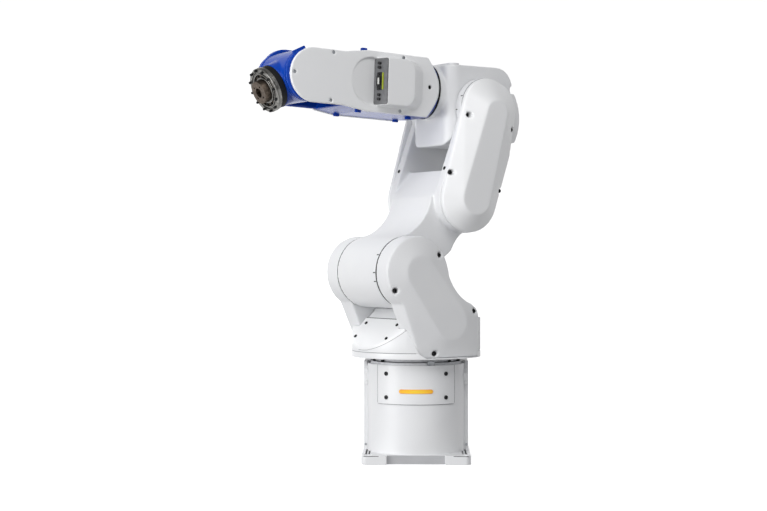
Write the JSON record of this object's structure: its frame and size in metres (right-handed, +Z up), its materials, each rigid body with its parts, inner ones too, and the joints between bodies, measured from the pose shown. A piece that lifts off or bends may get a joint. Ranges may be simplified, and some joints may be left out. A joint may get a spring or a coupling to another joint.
{
  "type": "industrial robot arm",
  "caption": "Table-standing articulated robot arm with turning base, bent lower arm, blue forearm with side covers, pitching wrist and bolted tool flange",
  "frame": {"origin": "middle of the base's underside, on the first (vertical) axis", "axes": "+Z up; the base's front with the lamp faces -Y; the arm reaches towards -X and -Y"},
  "size_m": [0.5808, 0.4609, 0.8859],
  "materials": {
    "white_paint": "smooth semi-gloss white paint on cast aluminium",
    "white_plastic": "smooth semi-gloss white moulded covers",
    "blue_paint": "gloss cobalt blue paint on cast aluminium",
    "steel": "machined bare steel",
    "grey_metal": "matt grey painted plate",
    "black_rubber": "matt black seal rubber",
    "black_plastic": "matt black moulded plastic",
    "amber_lens": "lit amber lens"
  },
  "bodies": {
    "base": {"base_plate": "white_paint", "base_housing": "white_paint", "base_front_cover": "white_plastic", "base_front_panel": "white_plastic", "status_lamp": "amber_lens", "base_rear_panel": "grey_metal", "rear_sockets": "black_plastic", "turntable_ring": "steel", "stop_block": "black_rubber"},
    "turret": {"turret_hub": "grey_metal", "turret_body": "white_paint", "turret_front_plate": "white_plastic", "shoulder_housing_right": "white_paint", "shoulder_housing_left": "white_paint"},
    "lower_arm": {"lower_arm_casting": "white_paint", "elbow_cover_right": "white_plastic", "elbow_cover_left": "white_plastic", "shoulder_seals": "black_rubber"},
    "elbow": {"elbow_housing": "white_paint", "elbow_top_plate": "white_paint", "elbow_rear_cover": "white_plastic", "elbow_seals": "black_rubber"},
    "forearm": {"forearm_casting": "blue_paint", "forearm_cover_right": "white_plastic", "forearm_cover_left": "white_plastic", "forearm_seal": "black_rubber", "connector_plate": "grey_metal", "signal_socket": "black_plastic", "air_fittings": "black_plastic"},
    "wrist": {"wrist_housing": "blue_paint", "wrist_seal": "black_rubber", "reducer_ring": "steel"},
    "flange": {"tool_flange": "steel"}
  },
  "joints": [
    {"name": "j1_turn", "type": "hinge", "parent": "base", "child": "turret", "pos_m": [0, 0, 0.2175], "axis": [0, 0, 1], "range_deg": [-115, 225]},
    {"name": "j2_shoulder", "type": "hinge", "parent": "turret", "child": "lower_arm", "pos_m": [-0.06553, -0.04589, 0.411], "axis": [-0.5736, 0.8192, 0], "range_deg": [-103.8, 36.2]},
    {"name": "j3_elbow", "type": "hinge", "parent": "lower_arm", "child": "elbow", "pos_m": [0.09627, 0.06741, 0.77029], "axis": [0.5736, -0.8192, 0], "range_deg": [-216.8, 24.2]},
    {"name": "j4_roll", "type": "hinge", "parent": "elbow", "child": "forearm", "pos_m": [0.01625, 0.01138, 0.80972], "axis": [0.8187, 0.5732, -0.0349], "range_deg": [-200, 200]},
    {"name": "j5_pitch", "type": "hinge", "parent": "forearm", "child": "wrist", "pos_m": [-0.25473, -0.17836, 0.82127], "axis": [0.5736, -0.8192, 0], "range_deg": [-151, 99]},
    {"name": "j6_flange", "type": "hinge", "parent": "wrist", "child": "flange", "pos_m": [-0.31534, -0.2208, 0.78833], "axis": [-0.7483, -0.524, -0.4067], "range_deg": [-360, 360]}
  ]
}
